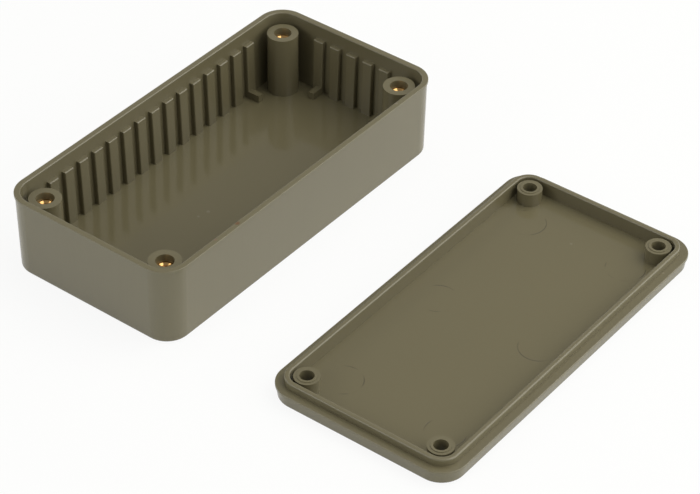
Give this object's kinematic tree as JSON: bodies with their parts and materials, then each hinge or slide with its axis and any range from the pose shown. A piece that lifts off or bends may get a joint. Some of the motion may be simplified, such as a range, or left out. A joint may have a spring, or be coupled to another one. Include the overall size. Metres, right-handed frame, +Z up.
{
  "type": "plastic project box",
  "caption": "Rectangular plastic project box: open base with guide ribs, corner screw posts with brass inserts, and a tongued lid laid beside it inner side up.",
  "frame": {"origin": "centre of the base's bottom face, on the surface that it stands on", "axes": "+X along the box's length, +Y across it and away from the lid, +Z up out of the open base"},
  "size_m": [0.1018, 0.1255, 0.0209],
  "materials": {
    "olive_plastic": "satin moulded, olive grey",
    "insert_brass": "turned, bright"
  },
  "bodies": {
    "root": {"box_base": "olive_plastic", "lid": "olive_plastic", "insert_front_left": "insert_brass", "insert_front_right": "insert_brass", "insert_back_left": "insert_brass", "insert_back_right": "insert_brass"}
  },
  "joints": []
}
